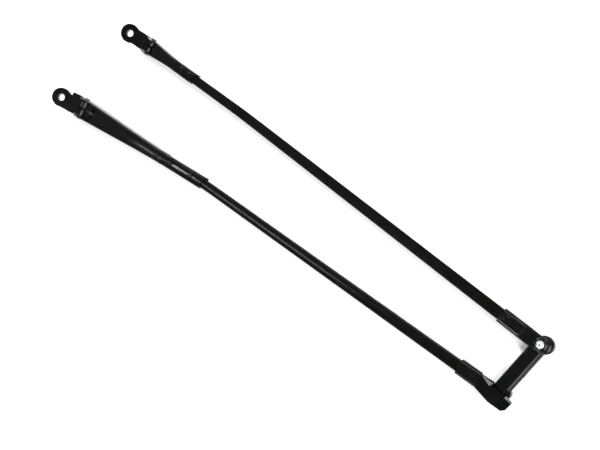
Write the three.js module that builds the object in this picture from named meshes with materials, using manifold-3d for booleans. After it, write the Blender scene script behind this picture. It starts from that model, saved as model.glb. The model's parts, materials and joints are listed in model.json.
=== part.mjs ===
// Pantograph windshield wiper arms: a drive arm and an idler arm, joined at their tips by a cross link.
// Millimetres, +Z up (away from the glass), +X along the drive arm's rod from head to tip.
import * as THREE from "three";
import { mergeVertices } from "three/addons/utils/BufferGeometryUtils.js";
import Module from "manifold-3d";

const wasm = await Module();
wasm.setup();

// ---- Driving dimensions ----

const GAP = 0.3; // left between pieces that touch
const SIDES = 28; // facets of the eyes, ears and link ends
const PIN_SIDES = 14; // facets of pins, bores and rivets

// Heights above the surface that the assembly lies on
const HINGE_Z = 9;
const TOP_Z = 17.9; // top of the channels and sleeves
const ROD_Z = 13.5; // middle of the rods
const PLATE = { low: 13.1, high: 16.3 }; // flat ends of the arms, over the link

// Cross link between the two tip pivots
const LINK = { length: 66, width: 15.4, height: 10.2, wall: 2, turn: 82.37, boltHole: 2.2, boltZ: 4.4 };
const LINK_END = { radius: 8.8, beyond: 2, aside: -2.8 }; // rounded pad round the idler pivot
const LINK_LUG = { radius: 5.1, along: 9, aside: -5.8 }; // side lug by the drive pivot
const DRIVE_PIVOT = { x: 0, y: -4.7 };

// Pivot stack, from the link up to the arm's plate
const PIVOT = {
  pinRadius: 3,
  bushRadius: 4.8,
  flangeRadius: 6.8,
  flangeThickness: 1,
  washerRadius: 6.2,
  washerThickness: 1,
  footRadius: 5,
  footHeight: 1.6,
};

const WALL = 1.5; // pressed sheet of channels and sleeves
const SHOULDER = 4; // outer corner radius of the channels
const ROD = { height: 5.4, corner: 2.5 };
const RIVET = { radius: 2, headRadius: 3.4, headHeight: 0.8 };
const HINGE = { pinRadius: 2.5, barrelRadius: 7.5, earRadius: 9, headRadius: 4.2, headHeight: 0.9 };
const ANCHOR = { x: 8, z: -3.5, radius: 2, lugRadius: 4 }; // seen from the hinge axis
const STRAP = { width: 3.2, height: 6, eyeRadius: 3.5, slot: 4, span: 18 };
const SPRING = { z: 0, meanRadius: 4.3, wire: 1.1, pitch: 4, tail: 5 };

const DRIVE = {
  name: "drive",
  turn: 0,
  bend: 3.05, // of the head section against the rod, degrees
  bendAt: 434, // tip pivot to bend
  hingeAt: 280, // bend to hinge
  rodWidth: 12.6,
  rodEnd: 172, // hinge to the rod's end, inside the channel
  rodTip: 27.5, // tip pivot to the rod's tip
  channel: {
    rootWidth: 31.5, endWidth: 17.2, length: 200, endZ: 4, slant: 0, taperLength: 190, taperPower: 1.25,
  },
  mouth: 40, // hinge to the end of the cut-away in the channel's top
  springEnd: 150,
  sleeve: { from: 41.5, to: 19.5 },
  rivetsAt: [190],
  head: { reach: 36.5, eyeRadius: 14.5, holeRadius: 5.4, neck: { right: 11, left: 11 }, thickness: 6.5 },
  shoulder: { right: 14, left: 16.4, to: 22 }, // widths each side of the axis, and reach from the hinge
  claw: 25,
};
const IDLER = {
  name: "idler",
  turn: -5.45,
  bend: 1.45,
  bendAt: 440,
  hingeAt: 220,
  rodWidth: 12,
  rodEnd: 78,
  rodTip: 27.5,
  channel: {
    rootWidth: 23.5, endWidth: 15.3, length: 117, endZ: 9.1, slant: 30, taperLength: 62, taperPower: 1.3,
  },
  mouth: 20,
  springEnd: 62,
  sleeve: { from: 43.5, to: 20 },
  end: { beyond: 2.3, aside: 0.6 },
  rivetsAt: [86, 103],
  head: { reach: 34, eyeRadius: 13.6, holeRadius: 5, neck: { right: 9, left: 11.5 }, thickness: 6 },
  shoulder: { right: 10.6, left: 11.8, to: 19 },
  claw: 20,
};
const HEAD_CRANK = 30; // the eye's flange rises from the hinge at this angle, degrees
const SHOULDER_BLOCK = { from: 9.8, height: 8.5 }; // along the head's flange
const CLAW = { low: -6, high: 3.4 }; // the head's tongue inside the channel
const SOCKET = { width: 16.6, to: 284, slant: 18, rivets: [216, 258] };

// Dog-leg plate at the drive arm's tip, corner by corner from its tongue
const BRACKET_CORNERS = [
  [-27.2, -4.7], [-19.2, -4.7], [-19.2, -7.6], [-1.8, -11.8], [11.6, -11.8], [14.9, -8.5],
  [16.6, 0.8], [8.6, 1.2], [-5.1, 3.4], [-17.4, 5], [-19.2, 5], [-19.2, 4.7], [-27.2, 4.7],
];
// Sloping lips of that plate, one each side of the link: x, inner y and outer y at both ends
const BRACKET_LIPS = [
  [[-19.1, 4.8, 6], [-5.6, 3.3, 6.3]],
  [[9.4, 1, 3.1], [16.4, 0.4, 0.9]],
];
const LIP = { low: 10.8, high: 11.6 };

const FINISHES = {
  paint: { color: 0x181a18, roughness: 0.35, metalness: 0.1 },
  steel: { color: 0xc9cfc4, roughness: 0.25, metalness: 1 },
  zinc: { color: 0x8b8f90, roughness: 0.4, metalness: 0.9 },
  nylon: { color: 0x12161f, roughness: 0.5, metalness: 0 },
};

// ---- Solids ----

function radians(degrees) {
  return THREE.MathUtils.degToRad(degrees);
}

function solid(geometry) {
  const bare = geometry.clone();
  bare.deleteAttribute("normal");
  bare.deleteAttribute("uv");
  const merged = mergeVertices(bare, 1e-4);
  return new wasm.Manifold(new wasm.Mesh({
    numProp: 3,
    vertProperties: merged.attributes.position.array,
    triVerts: new Uint32Array(merged.index.array),
  }));
}

function geometryOf(manifold) {
  const { vertProperties, triVerts } = manifold.getMesh();
  const geometry = new THREE.BufferGeometry();
  geometry.setAttribute("position", new THREE.BufferAttribute(vertProperties, 3));
  geometry.setIndex(new THREE.BufferAttribute(triVerts, 1));
  return geometry.toNonIndexed();
}

function cut(geometry, ...cutters) {
  return geometryOf(cutters.reduce((whole, c) => whole.subtract(solid(c)), solid(geometry)));
}

function join(geometry, ...others) {
  return geometryOf(others.reduce((whole, o) => whole.add(solid(o)), solid(geometry)));
}

// A box from its lowest to its highest corner.
function block(low, high) {
  const size = high.map((h, i) => h - low[i]);
  const middle = high.map((h, i) => (h + low[i]) / 2);
  return new THREE.BoxGeometry(...size).translate(...middle);
}

// Facets suited to a round of this radius.
function facets(radius) {
  return radius > 6 ? SIDES : PIN_SIDES;
}

function rodAlongY(radius, from, to, x, z) {
  const length = to - from;
  return new THREE.CylinderGeometry(radius, radius, length, facets(radius))
    .translate(x, (from + to) / 2, z);
}

function rodAlongZ(radius, from, to, x = 0, y = 0) {
  return new THREE.CylinderGeometry(radius, radius, to - from, facets(radius))
    .rotateX(Math.PI / 2)
    .translate(x, y, (from + to) / 2);
}

// A turned piece about Z, from profile points [radius, z] listed from the bottom up.
function turned(profile) {
  const points = profile.map(([r, z]) => new THREE.Vector2(r, z));
  return new THREE.LatheGeometry(points, PIN_SIDES).rotateX(Math.PI / 2);
}

function ring(inner, outer, low, high) {
  return turned([[inner, low], [outer, low], [outer, high], [inner, high], [inner, low]]);
}

// A flat piece of the given outline, from low to high in Z.
function plate(outline, low, high) {
  return new THREE.ExtrudeGeometry(outline, { depth: high - low, bevelEnabled: false, curveSegments: 12 })
    .translate(0, 0, low);
}

// Skins a row of outlines, { x, points: [[y, z], ...] } anticlockwise seen from +X, into a closed body.
function loft(stations) {
  const count = stations[0].points.length;
  const positions = stations.flatMap(({ x, points }) => points.flatMap(([y, z]) => [x, y, z]));
  const index = [];
  for (let i = 0; i + 1 < stations.length; i += 1) {
    for (let j = 0; j < count; j += 1) {
      const next = (j + 1) % count;
      const [a, b] = [i * count + j, i * count + next];
      const [c, d] = [b + count, a + count];
      index.push(a, b, c, a, c, d);
    }
  }
  const capOf = ({ points }) =>
    THREE.ShapeUtils.triangulateShape(points.map(([y, z]) => new THREE.Vector2(y, z)), []);
  const last = (stations.length - 1) * count;
  capOf(stations[0]).forEach(([a, b, c]) => index.push(a, c, b));
  capOf(stations.at(-1)).forEach(([a, b, c]) => index.push(last + a, last + b, last + c));
  const geometry = new THREE.BufferGeometry();
  geometry.setAttribute("position", new THREE.Float32BufferAttribute(positions, 3));
  geometry.setIndex(index);
  return geometry.toNonIndexed();
}

// Points of a quarter turn about (y, z), anticlockwise from the start angle.
function corner(y, z, radius, startDegrees, steps = 3) {
  return Array.from({ length: steps + 1 }, (_, i) => {
    const angle = radians(startDegrees + (90 * i) / steps);
    return [y + radius * Math.cos(angle), z + radius * Math.sin(angle)];
  });
}

function roundedSection(width, low, high, radius, y = 0) {
  const side = width / 2 - radius;
  return [
    ...corner(y + side, high - radius, radius, 0),
    ...corner(y - side, high - radius, radius, 90),
    ...corner(y - side, low + radius, radius, 180),
    ...corner(y + side, low + radius, radius, 270),
  ];
}

// A channel's section, open at the bottom.
function channelSection(width, bottom, top) {
  const side = width / 2 - SHOULDER;
  const inner = SHOULDER - WALL;
  const shoulderZ = top - SHOULDER;
  return [
    [width / 2, bottom],
    ...corner(side, shoulderZ, SHOULDER, 0),
    ...corner(-side, shoulderZ, SHOULDER, 90),
    [-width / 2, bottom],
    [-width / 2 + WALL, bottom],
    ...corner(-side, shoulderZ, inner, 90).reverse(),
    ...corner(side, shoulderZ, inner, 0).reverse(),
    [width / 2 - WALL, bottom],
  ];
}

// ---- Pieces of one arm. Those of the head section are placed from the hinge axis. ----

const TOP = TOP_Z - HINGE_Z;
const SLEEVE_BOTTOM = 2 * ROD_Z - TOP_Z;

function channelWidth(spec, x) {
  const { rootWidth, endWidth, taperLength, taperPower } = spec.channel;
  const left = THREE.MathUtils.clamp((taperLength - x) / taperLength, 0, 1);
  return endWidth + (rootWidth - endWidth) * left ** taperPower;
}

function channel(spec) {
  const start = -HINGE.earRadius;
  const { length } = spec.channel;
  const steps = 10;
  const rootBottom = -HINGE_Z;
  const endBottom = spec.channel.endZ - HINGE_Z;
  const stations = Array.from({ length: steps + 1 }, (_, i) => {
    const x = start + ((length - start) * i) / steps;
    const along = THREE.MathUtils.clamp((x - 2 * HINGE.earRadius) / (length - 2 * HINGE.earRadius), 0, 1);
    const bottom = THREE.MathUtils.lerp(rootBottom, endBottom, along);
    return { x, points: channelSection(channelWidth(spec, Math.max(x, 0)), bottom, TOP) };
  });
  const wide = spec.channel.rootWidth;
  const beyondEar = cut(
    block([start - 1, -wide, -HINGE_Z - 1], [0, wide, TOP + 1]),
    rodAlongY(HINGE.earRadius, -wide - 1, wide + 1, 0, 0),
  );
  const mouthHalf = channelWidth(spec, spec.mouth) / 2 - WALL - 1;
  const outline = new THREE.Shape();
  outline.moveTo(start - 2, -mouthHalf);
  outline.lineTo(spec.mouth - mouthHalf, -mouthHalf);
  outline.absarc(spec.mouth - mouthHalf, 0, mouthHalf, -Math.PI / 2, Math.PI / 2, false);
  outline.lineTo(start - 2, mouthHalf);
  const mouth = plate(outline, TOP - SHOULDER, TOP + 1);
  const rootHalf = wide / 2 - WALL - 0.2;
  const throat = block([start - 2, -rootHalf, TOP - SHOULDER], [HINGE.earRadius, rootHalf, TOP + 1]);
  const pegX = spec.springEnd + SPRING.tail;
  const holes = [
    rodAlongY(HINGE.pinRadius + GAP, -wide, wide, 0, 0),
    rodAlongY(ANCHOR.radius + GAP, -wide, wide, pegX, SPRING.z),
    ...spec.rivetsAt.map((x) => rodAlongZ(RIVET.radius + GAP, 0, TOP + 1, x)),
  ];
  const tube = slantedOff(loft(stations), length, spec.channel.endWidth, spec.channel.slant);
  return cut(tube, beyondEar, mouth, throat, ...holes);
}

// Cuts a tube off at x on its left side, slanting back towards its right side.
function slantedOff(geometry, x, width, degrees) {
  const beyond = block([0, -3 * width, -40], [60, 0, 40])
    .rotateZ(radians(-degrees))
    .translate(x, width / 2, 0);
  return cut(geometry, beyond);
}

function headFlange(spec) {
  const { reach, eyeRadius, neck, thickness } = spec.head;
  const { right, left, to } = spec.shoulder;
  const { from, height } = SHOULDER_BLOCK;
  const eye = rodAlongZ(eyeRadius, -thickness / 2, thickness / 2, -reach);
  const bar = block([-reach, -neck.right, -thickness / 2], [-2, neck.right, thickness / 2]);
  const taper = new THREE.Shape([
    new THREE.Vector2(-reach, neck.left), new THREE.Vector2(-reach, 0.2 - Math.min(eyeRadius, right)),
    new THREE.Vector2(-from, -right), new THREE.Vector2(-from, neck.left),
  ]);
  const web = plate(taper, -thickness / 2, thickness / 2);
  const shoulders = block([-to, -right, -height / 2], [-from, left, height / 2]);
  return join(eye, bar, web, shoulders).rotateY(radians(HEAD_CRANK));
}

function head(spec) {
  const tongue = spec.channel.rootWidth / 2 - WALL - 1;
  const barrel = rodAlongY(HINGE.barrelRadius, -tongue, tongue, 0, 0);
  const lug = rodAlongY(ANCHOR.lugRadius, -tongue, tongue, ANCHOR.x, ANCHOR.z);
  const web = block([0, -tongue, ANCHOR.z - ANCHOR.lugRadius + 0.6], [ANCHOR.x, tongue, 1]);
  const clawHalf = channelWidth(spec, spec.claw) / 2 - WALL - 0.8;
  const claw = block([0, -clawHalf, CLAW.low], [spec.claw, clawHalf, CLAW.high]);
  const slotHalf = STRAP.slot / 2;
  const slot = cut(
    block([0, -slotHalf, -20], [40, slotHalf, 20]),
    rodAlongY(HINGE.pinRadius + 2, -20, 20, 0, 0),
  );
  const { reach, holeRadius } = spec.head;
  const eyeHole = rodAlongZ(holeRadius, -20, 20, -reach).rotateY(radians(HEAD_CRANK));
  return cut(
    join(headFlange(spec), barrel, lug, web, claw),
    slot,
    eyeHole,
    rodAlongY(HINGE.pinRadius + GAP, -20, 20, 0, 0),
    rodAlongY(ANCHOR.radius + GAP, -20, 20, ANCHOR.x, ANCHOR.z),
  );
}

// A round pin along Y with a low head at each end.
function headedPin(radius, headRadius, headHeight, half) {
  const outer = half + headHeight;
  const profile = [
    [0, -outer], [headRadius * 0.7, -outer], [headRadius, -half - headHeight * 0.4],
    [headRadius, -half], [radius, -half], [radius, half], [headRadius, half],
    [headRadius, half + headHeight * 0.4], [headRadius * 0.7, outer], [0, outer],
  ];
  return new THREE.LatheGeometry(profile.map(([r, y]) => new THREE.Vector2(r, y)), PIN_SIDES);
}

function hook(spec) {
  const half = STRAP.width / 2;
  const ends = [[ANCHOR.x, ANCHOR.z], [springStart() - GAP - STRAP.eyeRadius, SPRING.z]];
  const eyes = ends.map(([x, z]) => rodAlongY(STRAP.eyeRadius, -half, half, x, z));
  const run = Math.hypot(ends[1][0] - ends[0][0], ends[1][1] - ends[0][1]);
  const tilt = Math.atan2(ends[1][1] - ends[0][1], ends[1][0] - ends[0][0]);
  const bar = block([0, -half, -STRAP.height / 2], [run, half, STRAP.height / 2])
    .rotateY(-tilt).translate(ends[0][0], 0, ends[0][1]);
  return cut(join(eyes[0], eyes[1], bar), rodAlongY(ANCHOR.radius + GAP, -20, 20, ANCHOR.x, ANCHOR.z));
}

function springStart() {
  return ANCHOR.x + STRAP.span;
}

// A close-wound spring on X, its ends drawn in to straight tails on the axis.
class SpringCurve extends THREE.Curve {
  constructor(start, end) {
    super();
    Object.assign(this, { start, end });
  }

  getPoint(t, target = new THREE.Vector3()) {
    const x = THREE.MathUtils.lerp(this.start, this.end, t);
    const inward = Math.min(x - this.start, this.end - x) - SPRING.tail * 0.6;
    const radius = SPRING.meanRadius * THREE.MathUtils.smoothstep(inward, 0, 1.5 * SPRING.pitch);
    const angle = (2 * Math.PI * (x - this.start)) / SPRING.pitch;
    return target.set(x, radius * Math.cos(angle), SPRING.z + radius * Math.sin(angle));
  }
}

function spring(spec) {
  const start = springStart();
  const end = spec.springEnd + SPRING.tail - ANCHOR.radius - GAP;
  const wire = new THREE.Shape().absarc(0, 0, SPRING.wire, 0, 2 * Math.PI, false);
  const path = new SpringCurve(start, end);
  const turns = (end - start) / SPRING.pitch;
  path.arcLengthDivisions = Math.ceil(turns * 40);
  return new THREE.ExtrudeGeometry(wire, {
    steps: Math.ceil(turns * 8),
    curveSegments: 3,
    extrudePath: path,
  });
}

function sleeveTube(width, from, to, rodWidth, holesAt) {
  const low = SLEEVE_BOTTOM;
  const skin = (x) => ({ x, points: roundedSection(width, low, TOP_Z, 3.4) });
  const half = ROD.height / 2 + GAP;
  const hollow = (x) => ({
    x,
    points: roundedSection(rodWidth + 2 * GAP, ROD_Z - half, ROD_Z + half, ROD.corner),
  });
  return cut(
    loft([skin(from), skin(to)]),
    loft([hollow(from - 1), hollow(to + 1)]),
    ...holesAt.map((x) => rodAlongZ(RIVET.radius + GAP, 0, 2 * TOP_Z, x)),
  );
}

// The bar, in the arm's frame: straight from its tip to the bend, then in line with the channel.
function rod(spec, rivetPlaces) {
  const slope = Math.tan(radians(spec.bend));
  const far = -(spec.bendAt + (spec.hingeAt - spec.rodEnd) * Math.cos(radians(spec.bend)));
  const half = ROD.height / 2;
  const station = (x) => ({
    x,
    points: roundedSection(spec.rodWidth, ROD_Z - half, ROD_Z + half, ROD.corner - 0.3,
      slope * Math.min(0, x + spec.bendAt)),
  });
  const xs = [far, -spec.bendAt, -spec.rodTip];
  const holes = rivetPlaces.map(([x, y]) => rodAlongZ(RIVET.radius + GAP, 0, 2 * TOP_Z, x, y));
  return cut(loft(xs.map(station)), ...holes);
}

function rivet() {
  const top = TOP_Z + GAP;
  const foot = SLEEVE_BOTTOM - GAP;
  const { radius, headRadius, headHeight } = RIVET;
  return turned([
    [0, foot - headHeight], [headRadius * 0.75, foot - headHeight * 0.7], [headRadius, foot],
    [radius, foot], [radius, top], [headRadius, top], [headRadius * 0.75, top + headHeight * 0.7],
    [0, top + headHeight],
  ]);
}

// ---- Tip pivots ----

function pivotPin(domeRadius, domeHeight) {
  const { pinRadius, footRadius, footHeight } = PIVOT;
  const top = PLATE.high + GAP;
  const dome = Array.from({ length: 7 }, (_, i) => {
    const angle = (Math.PI / 2) * (i / 6);
    return [domeRadius * Math.cos(angle), top + domeHeight * Math.sin(angle)];
  });
  dome.at(-1)[0] = 0;
  return turned([
    [0, 0.2], [footRadius, 0.2], [footRadius, 0.2 + footHeight], [pinRadius, 0.2 + footHeight],
    [pinRadius, top], ...dome,
  ]);
}

function pivotBush() {
  const { pinRadius, bushRadius, flangeRadius, flangeThickness, footHeight } = PIVOT;
  const low = 0.2 + footHeight + GAP;
  const seat = LINK.height + GAP;
  const bore = pinRadius + GAP;
  return turned([
    [bore, low], [bushRadius, low], [bushRadius, seat], [flangeRadius, seat],
    [flangeRadius, seat + flangeThickness], [bore, seat + flangeThickness], [bore, low],
  ]);
}

function pivotWasher() {
  const low = LINK.height + PIVOT.flangeThickness + 2 * GAP;
  return ring(PIVOT.pinRadius + GAP, PIVOT.washerRadius, low, low + PIVOT.washerThickness - GAP);
}

// ---- Cross link, in a frame that starts at the drive pivot and runs to the idler pivot ----

function tipLink() {
  const { length, width, height, wall, boltHole, boltZ } = LINK;
  const half = width / 2;
  const bar = block([0, -half, 0], [length, half, height]);
  const driveEnd = rodAlongZ(half, 0, height);
  const idlerEnd = rodAlongZ(LINK_END.radius, 0, height, length + LINK_END.beyond, LINK_END.aside);
  const lug = rodAlongZ(LINK_LUG.radius, 0, height, LINK_LUG.along, LINK_LUG.aside);
  const inset = PIVOT.bushRadius + 6;
  const hollow = block([inset, -half + wall, -1], [length - inset, half - wall, height - wall]);
  const bores = [0, length].flatMap((x) => [
    rodAlongZ(PIVOT.bushRadius + GAP, -1, height + 1, x),
    rodAlongZ(PIVOT.footRadius + GAP, -1, 0.2 + PIVOT.footHeight + GAP, x),
  ]);
  const bolt = rodAlongY(boltHole, -width, width, length / 2, boltZ);
  return cut(join(bar, driveEnd, idlerEnd, lug), hollow, ...bores, bolt);
}

// ---- Tips of the two arms ----

function bracketLip(ends) {
  return loft(ends.map(([x, inner, outer]) => ({
    x,
    points: [[inner, PLATE.low], [outer, LIP.low], [outer, LIP.high], [inner, PLATE.high]],
  })));
}

function driveBracket(rivetX) {
  const outline = new THREE.Shape(BRACKET_CORNERS.map(([x, y]) => new THREE.Vector2(x, y)));
  return cut(
    join(plate(outline, PLATE.low, PLATE.high), ...BRACKET_LIPS.map(bracketLip)),
    rodAlongZ(PIVOT.pinRadius + GAP, 0, 2 * TOP_Z, DRIVE_PIVOT.x, DRIVE_PIVOT.y),
    rodAlongZ(RIVET.radius + GAP, 0, 2 * TOP_Z, rivetX),
  );
}

// The idler's sleeve runs on into a round flat end over the link, a little past the pivot.
function idlerSleeve(rivetX) {
  const { from, to } = IDLER.sleeve;
  const width = IDLER.rodWidth + 2 * (GAP + WALL);
  const { beyond, aside } = IDLER.end;
  const tube = sleeveTube(width, -from, -to, IDLER.rodWidth, []);
  const neck = block([-IDLER.rodTip + GAP, -width / 2, PLATE.low], [beyond, width / 2, PLATE.high]);
  const end = rodAlongZ(width / 2, PLATE.low, PLATE.high, beyond, aside);
  return cut(
    join(tube, neck, end),
    rodAlongZ(PIVOT.pinRadius + GAP, 0, 2 * TOP_Z),
    rodAlongZ(RIVET.radius + GAP, 0, 2 * TOP_Z, rivetX),
  );
}

// ---- The assembly ----

function piece(name, geometry, finish, x = 0, y = 0, z = 0) {
  geometry.computeVertexNormals();
  const mesh = new THREE.Mesh(geometry, new THREE.MeshStandardMaterial(FINISHES[finish]));
  mesh.name = name;
  mesh.position.set(x, y, z);
  return mesh;
}

function frameAt(x, y, z, turnDegrees) {
  const frame = new THREE.Group();
  frame.position.set(x, y, z);
  frame.rotation.z = radians(turnDegrees);
  return frame;
}

// Place of a rivet of the head section, in the arm's frame.
function alongBend(spec, x) {
  const run = x - spec.hingeAt;
  const angle = radians(spec.bend);
  return [-spec.bendAt + run * Math.cos(angle), run * Math.sin(angle)];
}

function headSection(spec) {
  const frame = frameAt(-spec.bendAt, 0, 0, spec.bend);
  const fromHinge = frameAt(-spec.hingeAt, 0, HINGE_Z, 0);
  const half = spec.channel.rootWidth / 2 + GAP;
  const { pinRadius, headRadius, headHeight } = HINGE;
  const tongue = spec.channel.rootWidth / 2 - WALL - 1;
  const pegX = spec.springEnd + SPRING.tail;
  const pegHalf = channelWidth(spec, pegX) / 2 - GAP;
  const { name } = spec;
  fromHinge.add(
    piece(`${name}_channel`, channel(spec), "paint"),
    piece(`${name}_head`, head(spec), "paint"),
    piece(`${name}_hinge_pin`, headedPin(pinRadius, headRadius, headHeight, half), "paint"),
    piece(`${name}_anchor_pin`, rodAlongY(ANCHOR.radius, -tongue, tongue, ANCHOR.x, ANCHOR.z), "zinc"),
    piece(`${name}_spring_hook`, hook(spec), "zinc"),
    piece(`${name}_spring`, spring(spec), "zinc"),
    piece(`${name}_spring_peg`, rodAlongY(ANCHOR.radius, -pegHalf, pegHalf, pegX, SPRING.z), "paint"),
  );
  frame.add(fromHinge);
  spec.rivetsAt.forEach((x, i) => {
    frame.add(piece(`${name}_channel_rivet_${i + 1}`, rivet(), "paint", x - spec.hingeAt));
  });
  return frame;
}

function driveArm() {
  const arm = frameAt(0, 0, 0, DRIVE.turn);
  const sleeveRivets = { rod: -33, bracket: -23.4 };
  const section = headSection(DRIVE);
  const { width: socketWidth, to: socketEnd, slant, rivets } = SOCKET;
  const tube = sleeveTube(socketWidth, DRIVE.channel.length + GAP, socketEnd, DRIVE.rodWidth, rivets);
  const socket = slantedOff(tube, socketEnd, socketWidth, slant).translate(-DRIVE.hingeAt, 0, 0);
  section.add(piece("drive_rod_socket", socket, "paint"));
  SOCKET.rivets.forEach((x, i) => {
    section.add(piece(`drive_socket_rivet_${i + 1}`, rivet(), "paint", x - DRIVE.hingeAt));
  });
  const headRivets = [...DRIVE.rivetsAt, ...SOCKET.rivets].map((x) => alongBend(DRIVE, x));
  const { from, to } = DRIVE.sleeve;
  const width = DRIVE.rodWidth + 2 * (GAP + WALL);
  arm.add(
    section,
    piece("drive_rod", rod(DRIVE, [...headRivets, [sleeveRivets.rod, 0]]), "paint"),
    piece("drive_tip_sleeve",
      sleeveTube(width, -from, -to, DRIVE.rodWidth, Object.values(sleeveRivets)), "paint"),
    piece("drive_tip_bracket", driveBracket(sleeveRivets.bracket), "paint"),
    piece("drive_sleeve_rivet_1", rivet(), "paint", sleeveRivets.rod),
    piece("drive_sleeve_rivet_2", rivet(), "paint", sleeveRivets.bracket),
    piece("drive_pivot_pin", pivotPin(4.4, 1), "paint", DRIVE_PIVOT.x, DRIVE_PIVOT.y),
  );
  return arm;
}

function idlerArm(x, y) {
  const arm = frameAt(x, y, 0, IDLER.turn);
  const rivetX = -36;
  const headRivets = IDLER.rivetsAt.map((place) => alongBend(IDLER, place));
  arm.add(
    headSection(IDLER),
    piece("idler_rod", rod(IDLER, [...headRivets, [rivetX, 0]]), "paint"),
    piece("idler_tip_sleeve", idlerSleeve(rivetX), "paint"),
    piece("idler_sleeve_rivet", rivet(), "paint", rivetX),
    piece("idler_pivot_pin", pivotPin(3.9, 2.6), "steel"),
  );
  return arm;
}

function link() {
  const frame = frameAt(DRIVE_PIVOT.x, DRIVE_PIVOT.y, 0, LINK.turn);
  frame.add(piece("tip_link", tipLink(), "paint"));
  [["drive", 0], ["idler", LINK.length]].forEach(([name, x]) => {
    frame.add(
      piece(`${name}_pivot_bush`, pivotBush(), "nylon", x),
      piece(`${name}_pivot_washer`, pivotWasher(), "zinc", x),
    );
  });
  return frame;
}

const idlerPivot = [
  DRIVE_PIVOT.x + LINK.length * Math.cos(radians(LINK.turn)),
  DRIVE_PIVOT.y + LINK.length * Math.sin(radians(LINK.turn)),
];
const assembly = new THREE.Group();
assembly.add(driveArm(), link(), idlerArm(...idlerPivot));

// The origin is under the middle of the whole assembly.
const extent = new THREE.Box3().setFromObject(assembly, true);
const middle = extent.getCenter(new THREE.Vector3());
assembly.position.set(-middle.x, -middle.y, -extent.min.z);

const wiper = new THREE.Group();
wiper.add(assembly);

export default wiper;
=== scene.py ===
"""Looks for the pantograph wiper arms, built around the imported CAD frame. Blender works in metres; each
piece is drawn here in millimetres, in the frame of the head section, arm or link that it belongs to."""

import json
import math

import bmesh
import bpy
from mathutils import Matrix, Vector


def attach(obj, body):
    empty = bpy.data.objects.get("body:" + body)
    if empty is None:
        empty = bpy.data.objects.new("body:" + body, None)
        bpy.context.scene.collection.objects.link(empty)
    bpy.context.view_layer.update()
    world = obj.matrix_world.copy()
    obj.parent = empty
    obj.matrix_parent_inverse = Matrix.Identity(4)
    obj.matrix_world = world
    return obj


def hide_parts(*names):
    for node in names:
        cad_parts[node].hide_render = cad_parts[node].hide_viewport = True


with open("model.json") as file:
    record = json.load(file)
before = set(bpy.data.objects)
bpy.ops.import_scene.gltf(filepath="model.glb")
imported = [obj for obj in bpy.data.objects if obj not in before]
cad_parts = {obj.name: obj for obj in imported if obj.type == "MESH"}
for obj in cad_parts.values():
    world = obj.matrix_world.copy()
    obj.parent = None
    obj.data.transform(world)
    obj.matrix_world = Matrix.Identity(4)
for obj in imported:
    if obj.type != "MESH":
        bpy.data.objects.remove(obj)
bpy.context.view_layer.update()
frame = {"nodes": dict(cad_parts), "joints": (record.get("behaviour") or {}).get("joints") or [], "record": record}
JOINTS = {joint["name"]: joint for joint in frame["joints"]}
MM = 0.001

# ---- Driving dimensions, in millimetres and degrees ----

GAP = 0.3
WALL = 1.5
HINGE_Z = 9.0
TOP_Z = 17.9
ROD_Z = 13.5
ROD_HEIGHT = 5.4
SLEEVE_BOTTOM = 2 * ROD_Z - TOP_Z
PLATE_LOW, PLATE_HIGH = 13.1, 16.3
SHOULDER = 4.0
EAR_RADIUS, HINGE_BORE = 9.0, 2.8
HEAD_CRANK = 30.0  # the eye rises from the hinge at this angle
CLAW_HIGH, CLAW_RISE = 3.4, 0.18  # top of the head's tongue above the hinge, and its slope

LINK = {
    "length": 66.0, "width": 15.4, "height": 10.2, "wall": 2.0, "round": 2.6, "right_round": 4.6,
    "pad": (8.8, 68.0, -2.8), "lug": (5.1, 9.0, -5.8), "bore": 5.1, "foot": 5.3, "foot_z": 2.1,
}
DRIVE = {
    "name": "drive", "side": -1, "bend": 3.05, "bend_at": 434.0, "hinge_at": 280.0,
    "rod_width": 12.6, "crown": 0.5, "rod_corner": 1.4, "rod_end": 172.0, "rod_tip": 27.5,
    "root": 31.5, "end": 17.2, "length": 200.0, "end_z": 4.0, "slant": 0.0, "taper": 190.0, "power": 1.25,
    "mouth": 40.0, "eye": (36.5, 5.4), "claw": 25.0, "shoulder": 2.6,
}
IDLER = {
    "name": "idler", "side": 1, "bend": 1.45, "bend_at": 440.0, "hinge_at": 220.0,
    "rod_width": 12.0, "crown": 0.05, "rod_corner": 0.7, "rod_end": 78.0, "rod_tip": 27.5,
    "root": 23.5, "end": 15.3, "length": 117.0, "end_z": 9.1, "slant": 30.0, "taper": 62.0, "power": 1.3,
    "mouth": 20.0, "eye": (34.0, 5.0), "claw": 20.0, "shoulder": 2.0,
}
SOCKET = {"from": 200.3, "to": 284.0, "width": 16.6, "slant": 18.0, "wedge": (220.0, 270.0, 1.8)}
DRIVE_SLEEVE = (-41.5, -19.5)
IDLER_SLEEVE = (-43.5, -20.0)
IDLER_END = (2.3, 0.6)
DRIVE_PIVOT = (0.0, -4.7)
BRACKET_CORNERS = [
    (-27.2, -4.7), (-19.2, -4.7), (-19.2, -7.6), (-1.8, -11.8), (11.6, -11.8), (14.9, -8.5), (16.6, 0.9),
    (9.4, 3.1), (8.6, 1.2), (-5.1, 3.4), (-5.6, 7.4), (-19.2, 7.2), (-19.2, 4.7), (-27.2, 4.7),
]
SLOPE = math.tan(math.radians(20))  # of pressed facets that face left
CLAW_FROM = 8.0  # where the slope of the head's tongue begins, from the hinge
MOUTH_RIM = 1.0  # flat left on each side of the channel's mouth
SLEEVE_CORNER, BORE_CORNER, NECK_CORNER = 3.4, 2.5, 1.5  # radii: outside, inside, and at the flat neck
RAMP_LENGTH = 5.0  # from the idler sleeve's end down to its flat neck
BEND_EASE = 30.0  # half the length over which a rod bends
PIN = {"shank": 3.0, "hole": 3.3, "foot": 5.0, "foot_low": 0.2, "foot_high": 1.8}  # at both tip pivots
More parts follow.
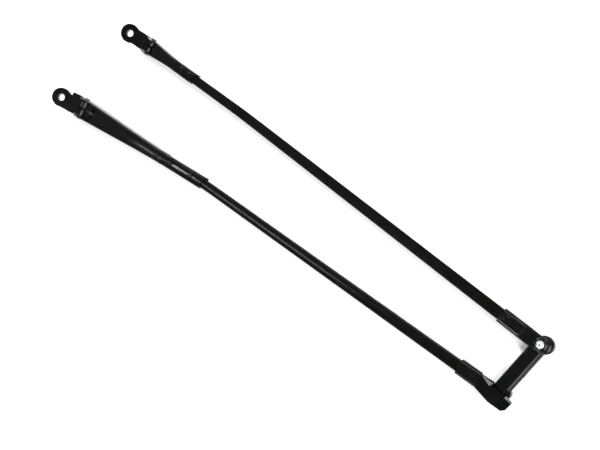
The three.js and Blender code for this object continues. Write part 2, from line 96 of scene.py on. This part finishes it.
PIN_HEAD = {"radius": 4.4, "height": 0.5}  # of the drive's pivot pin
DOME = {"radius": 3.95, "shoulder": 0.35, "height": 2.2}  # of the bright rivet
DISH = [(4.9, 1.0), (4.9, -0.3), (6.3, -0.8), (6.9, -0.7), (7.2, 1.0)]  # around it: radius, height
SLEEVE_RIVET = {"x": -23.4, "hole": 2.3}  # hole in the bracket's root
RIVET_HEIGHT = 0.5  # of the flattened heads

# ---- Camera, at the photograph's angle ----

AIM = Vector((-284.35, -34.01, 16.0)) * MM  # from the idler's tip pivot
CAMERA_DISTANCE = 0.6983
CAMERA_TILT = 30.0  # from straight down
CAMERA_AZIMUTH = 12.48
CAMERA_ROLL = 70.0
LENS = 36.0


def make_camera():
    data = bpy.data.cameras.new("camera")
    data.sensor_width = 36.0
    data.lens = LENS
    data.clip_start = 0.01
    camera = bpy.data.objects.new("camera", data)
    bpy.context.scene.collection.objects.link(camera)
    tilt, azimuth = math.radians(CAMERA_TILT), math.radians(CAMERA_AZIMUTH)
    across = math.sin(tilt)
    back = Vector((across * math.cos(azimuth), across * math.sin(azimuth), math.cos(tilt)))
    look = (-back).to_track_quat("-Z", "Y").to_matrix().to_4x4()
    roll = Matrix.Rotation(math.radians(-CAMERA_ROLL), 4, "Z")
    pivot = Vector(JOINTS["idler_tip_pivot"]["pos_m"])
    aim = Vector((pivot.x, pivot.y, 0)) + AIM
    camera.matrix_world = Matrix.Translation(aim + back * CAMERA_DISTANCE) @ look @ roll
    bpy.context.scene.camera = camera


# ---- Frames of the pieces: millimetres, z up from the floor ----


def turn(degrees):
    return Matrix.Rotation(math.radians(degrees), 4, "Z")


def along(x):
    return Matrix.Translation((x, 0, 0))


def head_frame(spec):
    """Origin below the hinge axis, X along the channel."""
    joint = JOINTS[spec["name"] + "_lift"]
    left = Vector(joint["axis"]).normalized() * spec["side"]
    place = Vector(joint["pos_m"])
    columns = (Vector((left.y, -left.x, 0)), left, Vector((0, 0, 1)))
    rotation = Matrix(columns).transposed().to_4x4()
    return Matrix.Translation((place.x, place.y, 0)) @ rotation @ Matrix.Scale(MM, 4)


def arm_frame(spec):
    """Origin at the tip pivot, X along the rod."""
    return head_frame(spec) @ along(spec["hinge_at"]) @ turn(-spec["bend"]) @ along(spec["bend_at"])


def link_frame():
    low, high = (Vector(JOINTS[n]["pos_m"]) for n in ("drive_tip_pivot", "idler_tip_pivot"))
    run = high - low
    spin = Matrix.Rotation(math.atan2(run.y, run.x), 4, "Z")
    return Matrix.Translation((low.x, low.y, 0)) @ spin @ Matrix.Scale(MM, 4)


# ---- Mesh helpers ----


def arc(y, z, radius, start, steps=8):
    angles = (math.radians(start + 90 * i / steps) for i in range(steps + 1))
    return [(y + radius * math.cos(a), z + radius * math.sin(a)) for a in angles]


def crowned(half, high, crown):
    """Points of a gently domed top, from left to right."""
    return [(half * t / 5, high - crown * (t / 5) ** 2) for t in range(4, -5, -1)]


def rounded(width, low, high, radius, y=0.0, crown=0.0):
    """Rounded rectangle in Y and Z; a crown lowers the sides of its top by that much."""
    side = width / 2 - radius
    upper = high - radius - crown
    top = [(y + across, z) for across, z in crowned(side, high, crown)] if crown else []
    return (arc(y + side, upper, radius, 0) + top + arc(y - side, upper, radius, 90)
            + arc(y - side, low + radius, radius, 180) + arc(y + side, low + radius, radius, 270))


def loft(stations):
    """Closed body from (x, [(y, z), ...]) stations."""
    bm = bmesh.new()
    rows = [[bm.verts.new((x, y, z)) for y, z in points] for x, points in stations]
    count = len(rows[0])
    for near, far in zip(rows, rows[1:]):
        for j in range(count):
            k = (j + 1) % count
            bm.faces.new((near[j], near[k], far[k], far[j]))
    bm.faces.new(rows[0])
    bm.faces.new(list(reversed(rows[-1])))
    bmesh.ops.recalc_face_normals(bm, faces=bm.faces)
    return bm


def lathe(profile, x=0.0, y=0.0, steps=64):
    """Closed body turned about Z from (radius, z) points; the profile closes on itself or on the axis."""
    bm = bmesh.new()
    verts = [bm.verts.new((r, 0, z)) for r, z in profile]
    closed = profile[0][0] > 0
    edges = [bm.edges.new(pair) for pair in zip(verts, verts[1:])]
    if closed:
        edges.append(bm.edges.new((verts[-1], verts[0])))
    bmesh.ops.spin(bm, geom=edges, cent=(0, 0, 0), axis=(0, 0, 1), angle=2 * math.pi, steps=steps,
                   use_merge=True)
    bmesh.ops.remove_doubles(bm, verts=bm.verts, dist=1e-4)
    bmesh.ops.recalc_face_normals(bm, faces=bm.faces)
    bmesh.ops.translate(bm, verts=bm.verts, vec=(x, y, 0))
    return bm


def soft_disc(radius, low, high, corner, x, y):
    """Round pad with a rounded upper edge."""
    edge = [(radius - corner + r, z) for r, z in arc(0, high - corner, corner, 0)]
    return lathe([(0, low), (radius, low)] + edge + [(0, high)], x, y)


def prism(outline, low, high):
    bm = bmesh.new()
    face = bm.faces.new([bm.verts.new((x, y, low)) for x, y in outline])
    lifted = bmesh.ops.extrude_face_region(bm, geom=[face])["geom"]
    bmesh.ops.translate(bm, verts=[g for g in lifted if isinstance(g, bmesh.types.BMVert)],
                        vec=(0, 0, high - low))
    bmesh.ops.recalc_face_normals(bm, faces=bm.faces)
    return bm


def block(low, high):
    (x0, y0, z0), (x1, y1, z1) = low, high
    return prism([(x0, y0), (x1, y0), (x1, y1), (x0, y1)], z0, z1)


def post(radius, low, high, x=0.0, y=0.0):
    return lathe([(0, low), (radius, low), (radius, high), (0, high)], x, y)


def crossbar(radius, half, x, z):
    """Round bar along Y."""
    bm = lathe([(0, -half), (radius, -half), (radius, half), (0, half)])
    bmesh.ops.rotate(bm, verts=bm.verts, cent=(0, 0, 0), matrix=Matrix.Rotation(math.pi / 2, 3, "X"))
    bmesh.ops.translate(bm, verts=bm.verts, vec=(x, 0, z))
    return bm


def facet_cutter(outline, top, at, fall_y, fall_x=0.0):
    """Leaves a sloping facet inside the outline: at height top over the point at, falling along Y and X."""
    bm = prism(outline, 0, 8)
    plane = Matrix.Identity(4)
    plane[2][0], plane[2][1] = -fall_x, -fall_y
    plane[2][3] = top + fall_x * at[0] + fall_y * at[1]
    return placed(bm, plane)


def mesh_object(name, bm):
    mesh = bpy.data.meshes.new(name)
    bm.to_mesh(mesh)
    bm.free()
    obj = bpy.data.objects.new(name, mesh)
    bpy.context.scene.collection.objects.link(obj)
    return obj


def settle(obj):
    """Applies the object's modifiers."""
    depsgraph = bpy.context.evaluated_depsgraph_get()
    mesh = bpy.data.meshes.new_from_object(obj.evaluated_get(depsgraph))
    obj.modifiers.clear()
    obj.data = mesh


def shaped(bm, add=(), cut=()):
    """Joins and cuts meshes exactly, and gives back one mesh."""
    body = mesh_object("body", bm)
    tools = []
    for others, operation in ((add, "UNION"), (cut, "DIFFERENCE")):
        for other in others:
            tool = mesh_object("tool", other)
            tools.append(tool)
            modifier = body.modifiers.new("cut", "BOOLEAN")
            modifier.operation = operation
            modifier.solver = "EXACT"
            modifier.object = tool
    settle(body)
    result = bmesh.new()
    result.from_mesh(body.data)
    for obj in tools + [body]:
        bpy.data.objects.remove(obj)
    return result


def finish_piece(name, bm, body, finish, nodes, bevel=0.45, sharp=32, crease=15):
    """Takes a piece in its place, in metres, rounds its edges, and lets it stand for its CAD nodes.

    Edges steeper than sharp degrees are rounded; edges steeper than crease degrees keep a hard line.
    """
    bmesh.ops.remove_doubles(bm, verts=bm.verts, dist=2e-6)
    bmesh.ops.dissolve_limit(bm, angle_limit=math.radians(0.5), verts=bm.verts, edges=bm.edges)
    obj = mesh_object(name, bm)
    if bevel:
        rounding = obj.modifiers.new("rounding", "BEVEL")
        rounding.width = bevel * MM
        rounding.segments = 3
        rounding.limit_method = "ANGLE"
        rounding.angle_limit = math.radians(sharp)
        settle(obj)
    obj.name = name
    obj.data.polygons.foreach_set("use_smooth", [True] * len(obj.data.polygons))
    obj.data.set_sharp_from_angle(angle=math.radians(crease))
    obj.data.materials.clear()
    obj.data.materials.append(FINISHES[finish])
    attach(obj, body)
    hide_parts(*nodes)
    return obj


def placed(bm, matrix):
    bmesh.ops.transform(bm, verts=bm.verts, matrix=matrix)
    return bm


def cad_shape(node, place=Matrix()):
    """The CAD node's mesh, welded, in the given frame's own coordinates."""
    bm = bmesh.new()
    bm.from_mesh(frame["nodes"][node].data)
    bmesh.ops.remove_doubles(bm, verts=bm.verts, dist=2e-6)
    return placed(bm, place.inverted())


def refined(node, body):
    """The CAD node's own shape, smoothly shaded."""
    finish_piece(node + "_fine", cad_shape(node), body, SLOTS[node], [node], bevel=0, crease=32)


# ---- Pieces ----


def make_head(spec):
    """Forged head: the CAD shape with softened edges and a truly round spindle hole."""
    node = spec["name"] + "_head"
    bm = cad_shape(node, head_frame(spec))
    reach, radius = spec["eye"]
    claw, wide = spec["claw"], spec["root"] / 2
    outline = [(CLAW_FROM, -wide), (claw + 1, -wide), (claw + 1, wide), (CLAW_FROM, wide)]
    ramp = facet_cutter(outline, HINGE_Z + CLAW_HIGH, (claw, 0), 0, -CLAW_RISE)
    flange = Matrix.Translation((0, 0, HINGE_Z)) @ Matrix.Rotation(math.radians(HEAD_CRANK), 4, "Y")
    hole = placed(post(radius, -20, 20, -reach), flange)
    bm = placed(shaped(bm, cut=[hole, ramp]), head_frame(spec))
    finish_piece(node + "_fine", bm, node, "black_paint", [node], bevel=0.35)


def channel_width(spec, x):
    left = min(max((spec["taper"] - x) / spec["taper"], 0), 1)
    return spec["end"] + (spec["root"] - spec["end"]) * left ** spec["power"]


def channel_section(spec, x):
    width = channel_width(spec, max(x, 0))
    run = min(max((x - 2 * EAR_RADIUS) / (spec["length"] - 2 * EAR_RADIUS), 0), 1)
    bottom = spec["end_z"] * run
    bend, crown = spec["shoulder"], spec["crown"]
    side, shoulder = width / 2 - bend, TOP_Z - bend - crown
    inner = max(bend - WALL, 0.5)
    reach, ceiling = width / 2 - WALL - inner, TOP_Z - WALL - inner - crown
    inside = arc(-reach, ceiling, inner, 90)[::-1] + arc(reach, ceiling, inner, 0)[::-1]
    return ([(width / 2, bottom)] + arc(side, shoulder, bend, 0) + crowned(side, TOP_Z, crown)
            + arc(-side, shoulder, bend, 90) + [(-width / 2, bottom), (-width / 2 + WALL, bottom)] + inside
            + [(width / 2 - WALL, bottom)])


def slant_cutter(x, width, degrees):
    bm = block((0, -3 * width, -20), (60, 0, 60))
    spin = Matrix.Translation((x, width / 2, 0)) @ turn(-degrees)
    return placed(bm, spin)


def make_channel(spec):
    name, wide = spec["name"], spec["root"]
    count = 64
    start = -EAR_RADIUS
    stations = []
    for i in range(count + 1):
        x = start + (spec["length"] - start) * i / count
        stations.append((x, channel_section(spec, x)))
    ear_round = crossbar(EAR_RADIUS, wide + 1, 0, HINGE_Z)
    around_ear = shaped(block((start - 1, -wide, -1), (0, wide, TOP_Z + 1)), cut=[ear_round])
    mouth_half = channel_width(spec, spec["mouth"]) / 2 - WALL - MOUTH_RIM
    centre = spec["mouth"] - mouth_half
    outline = [(start - 2, mouth_half), (start - 2, -mouth_half)]
    outline += [(centre + mouth_half * math.sin(a), -mouth_half * math.cos(a))
                for a in (math.pi * i / 40 for i in range(41))]
    root_half = wide / 2 - WALL - 0.2
    cutters = [
        around_ear,
        prism(outline, TOP_Z - SHOULDER, TOP_Z + 1),
        block((start - 2, -root_half, TOP_Z - SHOULDER), (EAR_RADIUS, root_half, TOP_Z + 1)),
        crossbar(HINGE_BORE, wide, 0, HINGE_Z),
    ]
    if spec["slant"]:
        cutters.append(slant_cutter(spec["length"], spec["end"], spec["slant"]))
    bm = shaped(loft(stations), cut=cutters)
    finish_piece(name + "_channel_fine", placed(bm, head_frame(spec)), name + "_arm", "black_paint",
                 [name + "_channel"], bevel=0.4, sharp=38)


def make_rod(spec):
    """Bar with well rounded edges; its bend is eased over a short length."""
    name = spec["name"]
    slope = math.tan(math.radians(spec["bend"]))
    far = -(spec["bend_at"] + (spec["hinge_at"] - spec["rod_end"]) * math.cos(math.radians(spec["bend"])))
    ease = BEND_EASE
    low, high = ROD_Z - ROD_HEIGHT / 2, ROD_Z + ROD_HEIGHT / 2
    stations = []
    count = 90
    for i in range(count + 1):
        x = far + (-spec["rod_tip"] - far) * i / count
        past = -(x + spec["bend_at"])
        drift = 0.0 if past < -ease else (past if past > ease else (past + ease) ** 2 / (4 * ease))
        y = -slope * drift
        section = rounded(spec["rod_width"], low, high, spec["rod_corner"], y, spec["crown"])
        stations.append((x, section))
    finish_piece(name + "_rod_fine", placed(loft(stations), arm_frame(spec)), name + "_arm", "black_paint",
                 [name + "_rod"], bevel=0.3, sharp=50)


def sleeve_body(width, start, end, rod_width, crown=0.0):
    """Outside and inside of a sleeve, as two bodies."""
    section = rounded(width, SLEEVE_BOTTOM, TOP_Z, SLEEVE_CORNER - crown, crown=crown)
    skin = [(start, section), (end, section)]
    half = ROD_HEIGHT / 2 + GAP
    bore = rounded(rod_width + 2 * GAP, ROD_Z - half, ROD_Z + half, BORE_CORNER)
    return loft(skin), loft([(start - 1, bore), (end + 1, bore)])


def make_socket():
    """Pressed collar of the drive rod, with a wedge-shaped facet pressed into its top."""
    start, end = SOCKET["from"], SOCKET["to"]
    skin, hollow = sleeve_body(SOCKET["width"], start, end, DRIVE["rod_width"], crown=0.5)
    near, far, half = SOCKET["wedge"]
    outline = [(near, 0.4), (near + 5, -half), (far, -0.9), (far, 0.9), (near + 5, half)]
    wedge = facet_cutter(outline, TOP_Z - 0.05, (0, -half), SLOPE)
    cutters = [hollow, wedge, slant_cutter(end, SOCKET["width"], SOCKET["slant"])]
    bm = shaped(skin, cut=cutters)
    finish_piece("drive_rod_socket_fine", placed(bm, head_frame(DRIVE)), "drive_arm", "black_paint",
                 ["drive_rod_socket"], bevel=0.35, crease=10)


def make_drive_sleeve():
    width = DRIVE["rod_width"] + 2 * (GAP + WALL)
    skin, hollow = sleeve_body(width, *DRIVE_SLEEVE, DRIVE["rod_width"])
    bm = shaped(skin, cut=[hollow])
    finish_piece("drive_tip_sleeve_fine", placed(bm, arm_frame(DRIVE)), "drive_arm", "black_paint",
                 ["drive_tip_sleeve"], bevel=0.35)


def make_bracket():
    """Dog-leg plate with a sloping facet pressed into its upper edge on each side of the link."""
    outline = [(-19.4, 6.6), (-8.4, 1.1), (-6.2, 6.5)]
    left = facet_cutter(outline, PLATE_HIGH, (-8.2, 1.6), SLOPE, 0.417 * SLOPE)
    outline = [(8.5, 0.6), (17, -0.6), (17, 3), (8.5, 4)]
    right = facet_cutter(outline, PLATE_HIGH, (8.5, 0.6), SLOPE, 0.14 * SLOPE)
    holes = [post(PIN["hole"], 0, 30, *DRIVE_PIVOT), post(SLEEVE_RIVET["hole"], 0, 30, SLEEVE_RIVET["x"])]
    bm = shaped(prism(BRACKET_CORNERS, PLATE_LOW, PLATE_HIGH), cut=[left, right, *holes])
    finish_piece("drive_tip_bracket_fine", placed(bm, arm_frame(DRIVE)), "drive_arm", "black_paint",
                 ["drive_tip_bracket"], bevel=0.3, crease=10)


def ledge_section(width, low, high, ledge=2.9, drop=0.9):
    """Sleeve section whose right shoulder sits on a lower ledge."""
    half, bottom_corner = width / 2, 3.0
    outer = arc(half - SLEEVE_CORNER, high - SLEEVE_CORNER, SLEEVE_CORNER, 0)
    step = [(-half + ledge + 0.5, high), (-half + ledge, high - drop)]
    flat = 1.1
    rise = drop - flat * SLOPE
    right = arc(-half + ledge - flat, high - rise - ledge + flat, ledge - flat, 90)
    lower = low + bottom_corner
    bottom = (arc(-half + bottom_corner, lower, bottom_corner, 180)
              + arc(half - bottom_corner, lower, bottom_corner, 270))
    return outer + step + right + bottom


def make_idler_sleeve():
    """Sleeve that runs on into a round, dished end over the link."""
    width = IDLER["rod_width"] + 2 * (GAP + WALL)
    start, end = IDLER_SLEEVE
    _, hollow = sleeve_body(width, start, end, IDLER["rod_width"])
    skin = loft([(x, ledge_section(width, SLEEVE_BOTTOM, TOP_Z)) for x in (start, end)])
    beyond, aside = IDLER_END
    ramp = loft([
        (end, rounded(width, PLATE_LOW - 0.6, TOP_Z - 0.2, 2.1)),
        (end + RAMP_LENGTH, rounded(width, PLATE_LOW, PLATE_HIGH, NECK_CORNER)),
        (beyond - 3, rounded(width - 0.6, PLATE_LOW, PLATE_HIGH, NECK_CORNER)),
    ])
    tube = shaped(skin, cut=[hollow])
    flat = rounded(width, PLATE_LOW, PLATE_HIGH, NECK_CORNER)
    neck = loft([(-IDLER["rod_tip"] + GAP, flat), (end + 1, flat)])
    rim = width / 2
    pad = lathe([(0, PLATE_LOW), (rim, PLATE_LOW), (rim, PLATE_HIGH - 1.2), (rim - 0.3, PLATE_HIGH - 0.7),
                 (rim - 2, PLATE_HIGH), (0, PLATE_HIGH)], beyond, aside)
    dish = lathe([(radius, PLATE_HIGH + z) for radius, z in DISH])
    bm = shaped(tube, add=[neck, ramp, pad], cut=[dish, post(PIN["hole"], 0, 30)])
    finish_piece("idler_tip_sleeve_fine", placed(bm, arm_frame(IDLER)), "idler_arm", "black_paint",
                 ["idler_tip_sleeve"], bevel=0.25)


def make_link():
    """Cross link: a pressed bar with soft shoulders, a round pad at one end and a side lug at the other."""
    half, height, soft = LINK["width"] / 2, LINK["height"], LINK["round"]
    wide = LINK["right_round"]
    section = ([(half, 0.0)] + arc(half - soft, height - soft, soft, 0)
               + arc(wide - half, height - wide, wide, 90) + [(-half, 0.0)])
    bar = loft([(0, section), (LINK["length"], section)])
    pads = [soft_disc(half, 0, height, soft, 0, 0)]
    for radius, x, y in (LINK["pad"], LINK["lug"]):
        pads.append(soft_disc(radius, 0, height - 0.15, 1.6, x, y))
    inset = 10.8
    wall = LINK["wall"]
    cutters = [block((inset, wall - half, -1), (LINK["length"] - inset, half - wall, height - wall)),
               crossbar(2.2, 20, LINK["length"] / 2, 4.4)]
    for x in (0, LINK["length"]):
        cutters += [post(LINK["bore"], -1, height + 1, x), post(LINK["foot"], -1, LINK["foot_z"], x)]
    bm = shaped(bar, add=pads, cut=cutters)
    finish_piece("tip_link_fine", placed(bm, link_frame()), "tip_link", "black_paint", ["tip_link"],
                 bevel=0.2)


def pin_stem(head):
    """Profile of a tip pivot's foot and shank, up to the underside of its head."""
    foot, shank, low, high = PIN["foot"], PIN["shank"], PIN["foot_low"], PIN["foot_high"]
    return [(0, low), (foot, low), (foot, high), (shank, high), (shank, head)]


def make_bright_rivet():
    """Pivot pin with a smooth dome and a fine shoulder where it meets the plate."""
    head, count = PLATE_HIGH + GAP, 16
    radius, base = DOME["radius"], head + DOME["shoulder"]
    angles = (math.pi / 2 * i / count for i in range(count))
    dome = [(radius * math.cos(a), base + DOME["height"] * math.sin(a)) for a in angles]
    profile = pin_stem(head) + [(radius, head)] + dome + [(0, base + DOME["height"])]
    finish_piece("idler_pivot_pin_fine", placed(lathe(profile), arm_frame(IDLER)), "idler_arm",
                 "bright_steel", ["idler_pivot_pin"], bevel=0)


def make_drive_pin():
    """Pivot pin with a low flat head on the bracket."""
    head = PLATE_HIGH + GAP
    radius, top = PIN_HEAD["radius"], head + PIN_HEAD["height"]
    profile = pin_stem(head) + [(radius, head), (radius, top), (0, top)]
    finish_piece("drive_pivot_pin_fine", placed(lathe(profile, *DRIVE_PIVOT), arm_frame(DRIVE)), "drive_arm",
                 "black_paint", ["drive_pivot_pin"], bevel=0.15, crease=10)


def make_rivet(node):
    """CAD rivet with its head pressed nearly flat."""
    bm = cad_shape(node)
    for vert in bm.verts:
        vert.co.z = min(vert.co.z, (TOP_Z + RIVET_HEIGHT) * MM)
    finish_piece(node + "_fine", bm, node.split("_")[0] + "_arm", "black_paint", [node], bevel=0)


def make_light(name, place, size, radiance, lean):
    """Softbox with its sides along X and Y, leaning about them (in degrees) to face the parts."""
    data = bpy.data.lights.new(name, "AREA")
    data.shape = "RECTANGLE"
    data.size, data.size_y = size
    data.energy = radiance * math.pi * size[0] * size[1]
    light = bpy.data.objects.new(name, data)
    bpy.context.scene.collection.objects.link(light)
    light.location = place
    light.rotation_euler = [math.radians(angle) for angle in (*lean, 0)]


def make_floor():
    mesh = bpy.data.meshes.new("floor")
    half = 4.0
    corners = [(-half, -half, 0), (half, -half, 0), (half, half, 0), (-half, half, 0)]
    mesh.from_pydata(corners, [], [(0, 1, 2, 3)])
    floor = bpy.data.objects.new("floor", mesh)
    floor.location.z = -0.0002
    bpy.context.scene.collection.objects.link(floor)
    material = bpy.data.materials.new("floor_white")
    material.use_nodes = True
    shader = material.node_tree.nodes["Principled BSDF"]
    shader.inputs["Base Color"].default_value = (0.9, 0.9, 0.9, 1)
    shader.inputs["Roughness"].default_value = 0.9
    mesh.materials.append(material)


def make_world():
    world = bpy.data.worlds.new("studio")
    world.use_nodes = True
    world.node_tree.nodes["Background"].inputs["Color"].default_value = (1, 1, 1, 1)
    world.node_tree.nodes["Background"].inputs["Strength"].default_value = 0.25
    bpy.context.scene.world = world
    bpy.context.scene.view_settings.view_transform = "Standard"


def paint(name, base, rough, grain_size, grain_height, metallic=0.0, specular=0.5, wear=0.3):
    """Coated or bare metal: mottled colour and gloss, fine grain, and paler worn edges."""
    material = bpy.data.materials.new(name)
    material.use_nodes = True
    nodes, links = material.node_tree.nodes, material.node_tree.links
    shader = nodes["Principled BSDF"]
    shader.inputs["Metallic"].default_value = metallic
    shader.inputs["Specular IOR Level"].default_value = specular
    place = nodes.new("ShaderNodeTexCoord")

    def noise(scale, detail):
        node = nodes.new("ShaderNodeTexNoise")
        node.inputs["Scale"].default_value = scale
        node.inputs["Detail"].default_value = detail
        links.new(place.outputs["Object"], node.inputs["Vector"])
        return node.outputs["Fac"]

    def ramp(source, low, high, at=(0.35, 0.65)):
        node = nodes.new("ShaderNodeValToRGB")
        node.color_ramp.elements[0].position, node.color_ramp.elements[1].position = at
        node.color_ramp.elements[0].color = low
        node.color_ramp.elements[1].color = high
        links.new(source, node.inputs["Fac"])
        return node.outputs["Color"]

    def grey(value):
        return (value, value, value, 1)

    mottle = noise(60, 4)
    dark = (base[0] * 0.5, base[1] * 0.75, base[2] * 0.5, 1)
    pale = (base[0] * 1.4, base[1] * 1.4, base[2] * 1.6, 1)
    colour = ramp(mottle, dark, pale)
    edge = nodes.new("ShaderNodeNewGeometry").outputs["Pointiness"]
    worn = ramp(edge, grey(0), grey(wear), at=(0.52, 0.62))
    mix = nodes.new("ShaderNodeMix")
    mix.data_type = "RGBA"
    links.new(worn, mix.inputs["Factor"])
    links.new(colour, mix.inputs["A"])
    mix.inputs["B"].default_value = tuple(min(1, c * 2.5 + 0.002) for c in base) + (1,)
    links.new(mix.outputs["Result"], shader.inputs["Base Color"])
    links.new(ramp(noise(140, 3), grey(rough * 0.85), grey(rough * 1.2)), shader.inputs["Roughness"])
    bump = nodes.new("ShaderNodeBump")
    bump.inputs["Distance"].default_value = grain_height
    bump.inputs["Strength"].default_value = 0.5
    links.new(noise(grain_size, 2), bump.inputs["Height"])
    links.new(bump.outputs["Normal"], shader.inputs["Normal"])
    return material


FINISHES = {
    "black_paint": paint("black_paint", (0.0012, 0.0014, 0.0011), 0.18, 900, 0.00002, specular=0.2,
                         wear=0.1),
    "bright_steel": paint("bright_steel", (0.76, 0.79, 0.74), 0.3, 500, 0.000004, metallic=1.0, wear=0.1),
    "zinc_steel": paint("zinc_steel", (0.035, 0.037, 0.04), 0.4, 1200, 0.00004, metallic=0.8, wear=0.2),
    "nylon": paint("nylon", (0.008, 0.011, 0.022), 0.42, 1500, 0.00005, specular=0.3),
}
SLOTS = {s["node"]: s["material_slot"] for s in frame["record"]["subparts"]}
for node, obj in frame["nodes"].items():
    obj.data.materials.clear()
    obj.data.materials.append(FINISHES[SLOTS[node]])

make_camera()
make_floor()
make_world()
make_light("key", (2.0, 0.1, 1.6), (1.6, 1.6), 9, (0, 50))
make_light("edge", (-0.95, 0.85, 1.5), (3.7, 0.22), 20, (-30, 0))
make_light("strip", (-0.87, -0.36, 1.5), (1.3, 0.05), 26, (0, 0))
make_light("fill", (0.2, -1.9, 1.5), (2.6, 0.9), 4, (50, 0))

for arm in (DRIVE, IDLER):
    make_head(arm)
    make_channel(arm)
    make_rod(arm)
make_socket()
make_drive_sleeve()
make_bracket()
make_idler_sleeve()
make_link()
make_bright_rivet()
make_drive_pin()
for arm in ("drive", "idler"):
    refined(arm + "_hinge_pin", arm + "_arm")
for node in frame["nodes"]:
    if "_rivet" in node:
        make_rivet(node)
